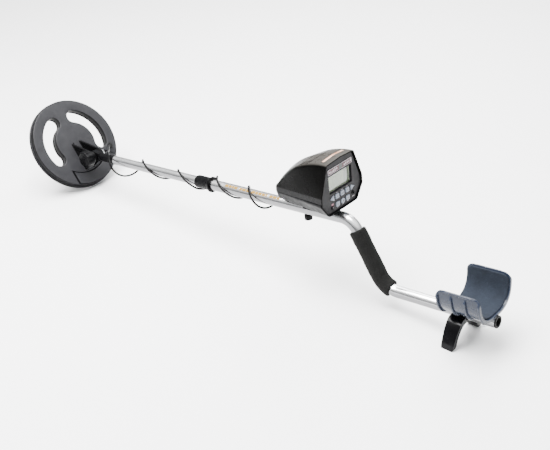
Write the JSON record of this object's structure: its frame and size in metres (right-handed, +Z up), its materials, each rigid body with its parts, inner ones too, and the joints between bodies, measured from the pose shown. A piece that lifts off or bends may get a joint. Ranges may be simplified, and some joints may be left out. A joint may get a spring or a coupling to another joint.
{
  "type": "metal detector",
  "caption": "Hobby metal detector with a tilting round search coil, telescopic stem with coiled lead, control box with display, foam grip, arm cuff and stand.",
  "frame": {"origin": "on the ground under the middle of the detector, halfway between the coil rim and the rod end cap", "axes": "+X from the search coil to the arm cuff, +Y to the user's right, +Z up"},
  "size_m": [1.166, 0.21, 0.273],
  "materials": {
    "coil_plastic": "fine satin moulding, dark grey",
    "black_plastic": "moulded black, light grain",
    "gloss_black": "smooth glossy black",
    "grey_plastic": "satin charcoal grey",
    "tube_aluminium": "brushed and clear anodised",
    "steel": "bright zinc",
    "brass_insert": "machined",
    "winding_wire": "enamelled copper wire, taped",
    "grip_foam": "closed-cell foam, matt",
    "black_rubber": "matt moulded rubber",
    "cable_sheath": "smooth PVC sheath",
    "cuff_navy": "semi-gloss navy",
    "cuff_lining": "brushed felt over thin foam",
    "panel_grey": "satin printed overlay",
    "key_grey": "light grey moulded keys",
    "display_green": "liquid crystal, unlit green-grey",
    "display_glass": "clear, polished",
    "board_green": "solder mask",
    "cell_wrap": "printed metal can"
  },
  "bodies": {
    "rod_body": {"s_rod": "tube_aluminium", "lock_collet": "black_plastic", "grip_foam": "grip_foam", "end_cap": "black_rubber", "arm_cuff": "cuff_navy", "cuff_pad": "cuff_lining", "cuff_bolt_front": "steel", "cuff_bolt_rear": "steel", "cuff_nut_front": "steel", "cuff_nut_rear": "steel", "stand": "gloss_black", "housing_upper": "gloss_black", "housing_lower": "grey_plastic", "front_panel": "panel_grey", "headphone_jack": "black_plastic", "display_window": "display_glass", "display_module": "display_green", "header_plate": "grey_plastic", "display_board": "board_green", "key_board": "board_green", "main_board": "board_green", "speaker": "black_plastic", "battery_left": "cell_wrap", "battery_right": "cell_wrap", "battery_snap_left": "black_plastic", "battery_snap_right": "black_plastic", "rod_saddle": "black_plastic", "clamp_insert": "brass_insert", "nose_cable_gland": "black_rubber", "cable_stem": "cable_sheath"},
    "lower_stem": {"lower_rod_end": "black_plastic", "lower_tube": "tube_aluminium", "lower_tube_plug": "black_plastic"},
    "coil": {"coil_upper_shell": "coil_plastic", "coil_lower_cover": "coil_plastic", "transmit_winding": "winding_wire", "receive_winding": "winding_wire", "coil_cable_gland": "black_rubber", "pivot_bolt": "steel", "pivot_head_washer": "steel", "pivot_rubber_left": "black_rubber", "pivot_rubber_right": "black_rubber", "cable_lead": "cable_sheath"},
    "tilt_knob": {"coil_knob": "black_plastic"},
    "twist_collar": {"lock_collar": "black_plastic"},
    "box_screw": {"clamp_screw": "black_plastic"},
    "door_left": {"battery_door_left": "grey_plastic"},
    "door_right": {"battery_door_right": "grey_plastic"},
    "button_left": {"key_left": "key_grey"},
    "button_menu": {"key_menu": "key_grey"},
    "button_mode": {"key_mode": "key_grey"},
    "button_sense": {"key_sense": "key_grey"},
    "button_right": {"key_right": "key_grey"},
    "button_power": {"key_power": "black_plastic"},
    "button_notch": {"key_notch": "key_grey"},
    "button_pinpoint": {"key_pinpoint": "key_grey"},
    "button_volume": {"key_volume": "key_grey"}
  },
  "joints": [
    {"name": "stem_slide", "type": "slide", "parent": "rod_body", "child": "lower_stem", "axis": [0.9949, 0, 0.1007], "range_m": [-0.04, 0.12], "deforming": ["cable_stem"]},
    {"name": "lock_twist", "type": "hinge", "parent": "rod_body", "child": "twist_collar", "pos_m": [-0.08424, 0, 0.1173], "axis": [0.9949, 0, 0.1007], "range_deg": [-90, 0]},
    {"name": "coil_tilt", "type": "hinge", "parent": "lower_stem", "child": "coil", "pos_m": [-0.43803, 0, 0.08149], "axis": [0, 1, 0], "range_deg": [-55, 45], "deforming": ["cable_lead"]},
    {"name": "coil_knob_turn", "type": "hinge", "parent": "coil", "child": "tilt_knob", "pos_m": [-0.43803, 0, 0.08149], "axis": [0, 1, 0], "continuous": true},
    {"name": "box_screw_turn", "type": "hinge", "parent": "rod_body", "child": "box_screw", "pos_m": [0.1824, 0, 0.14429], "axis": [-0.1007, 0, 0.9949], "continuous": true},
    {"name": "door_left_slide", "type": "slide", "parent": "rod_body", "child": "door_left", "axis": [0.9949, 0, 0.1007], "range_m": [0, 0.055]},
    {"name": "door_right_slide", "type": "slide", "parent": "rod_body", "child": "door_right", "axis": [0.9949, 0, 0.1007], "range_m": [0, 0.055]},
    {"name": "key_left_press", "type": "slide", "parent": "rod_body", "child": "button_left", "axis": [-0.998, 0, -0.0628], "range_m": [0, 0.0009], "stiffness_N_per_m": 300},
    {"name": "key_menu_press", "type": "slide", "parent": "rod_body", "child": "button_menu", "axis": [-0.998, 0, -0.0628], "range_m": [0, 0.0009], "stiffness_N_per_m": 300},
    {"name": "key_mode_press", "type": "slide", "parent": "rod_body", "child": "button_mode", "axis": [-0.998, 0, -0.0628], "range_m": [0, 0.0009], "stiffness_N_per_m": 300},
    {"name": "key_sense_press", "type": "slide", "parent": "rod_body", "child": "button_sense", "axis": [-0.998, 0, -0.0628], "range_m": [0, 0.0009], "stiffness_N_per_m": 300},
    {"name": "key_right_press", "type": "slide", "parent": "rod_body", "child": "button_right", "axis": [-0.998, 0, -0.0628], "range_m": [0, 0.0009], "stiffness_N_per_m": 300},
    {"name": "key_power_press", "type": "slide", "parent": "rod_body", "child": "button_power", "axis": [-0.998, 0, -0.0628], "range_m": [0, 0.0009], "stiffness_N_per_m": 300},
    {"name": "key_notch_press", "type": "slide", "parent": "rod_body", "child": "button_notch", "axis": [-0.998, 0, -0.0628], "range_m": [0, 0.0009], "stiffness_N_per_m": 300},
    {"name": "key_pinpoint_press", "type": "slide", "parent": "rod_body", "child": "button_pinpoint", "axis": [-0.998, 0, -0.0628], "range_m": [0, 0.0009], "stiffness_N_per_m": 300},
    {"name": "key_volume_press", "type": "slide", "parent": "rod_body", "child": "button_volume", "axis": [-0.998, 0, -0.0628], "range_m": [0, 0.0009], "stiffness_N_per_m": 300}
  ]
}
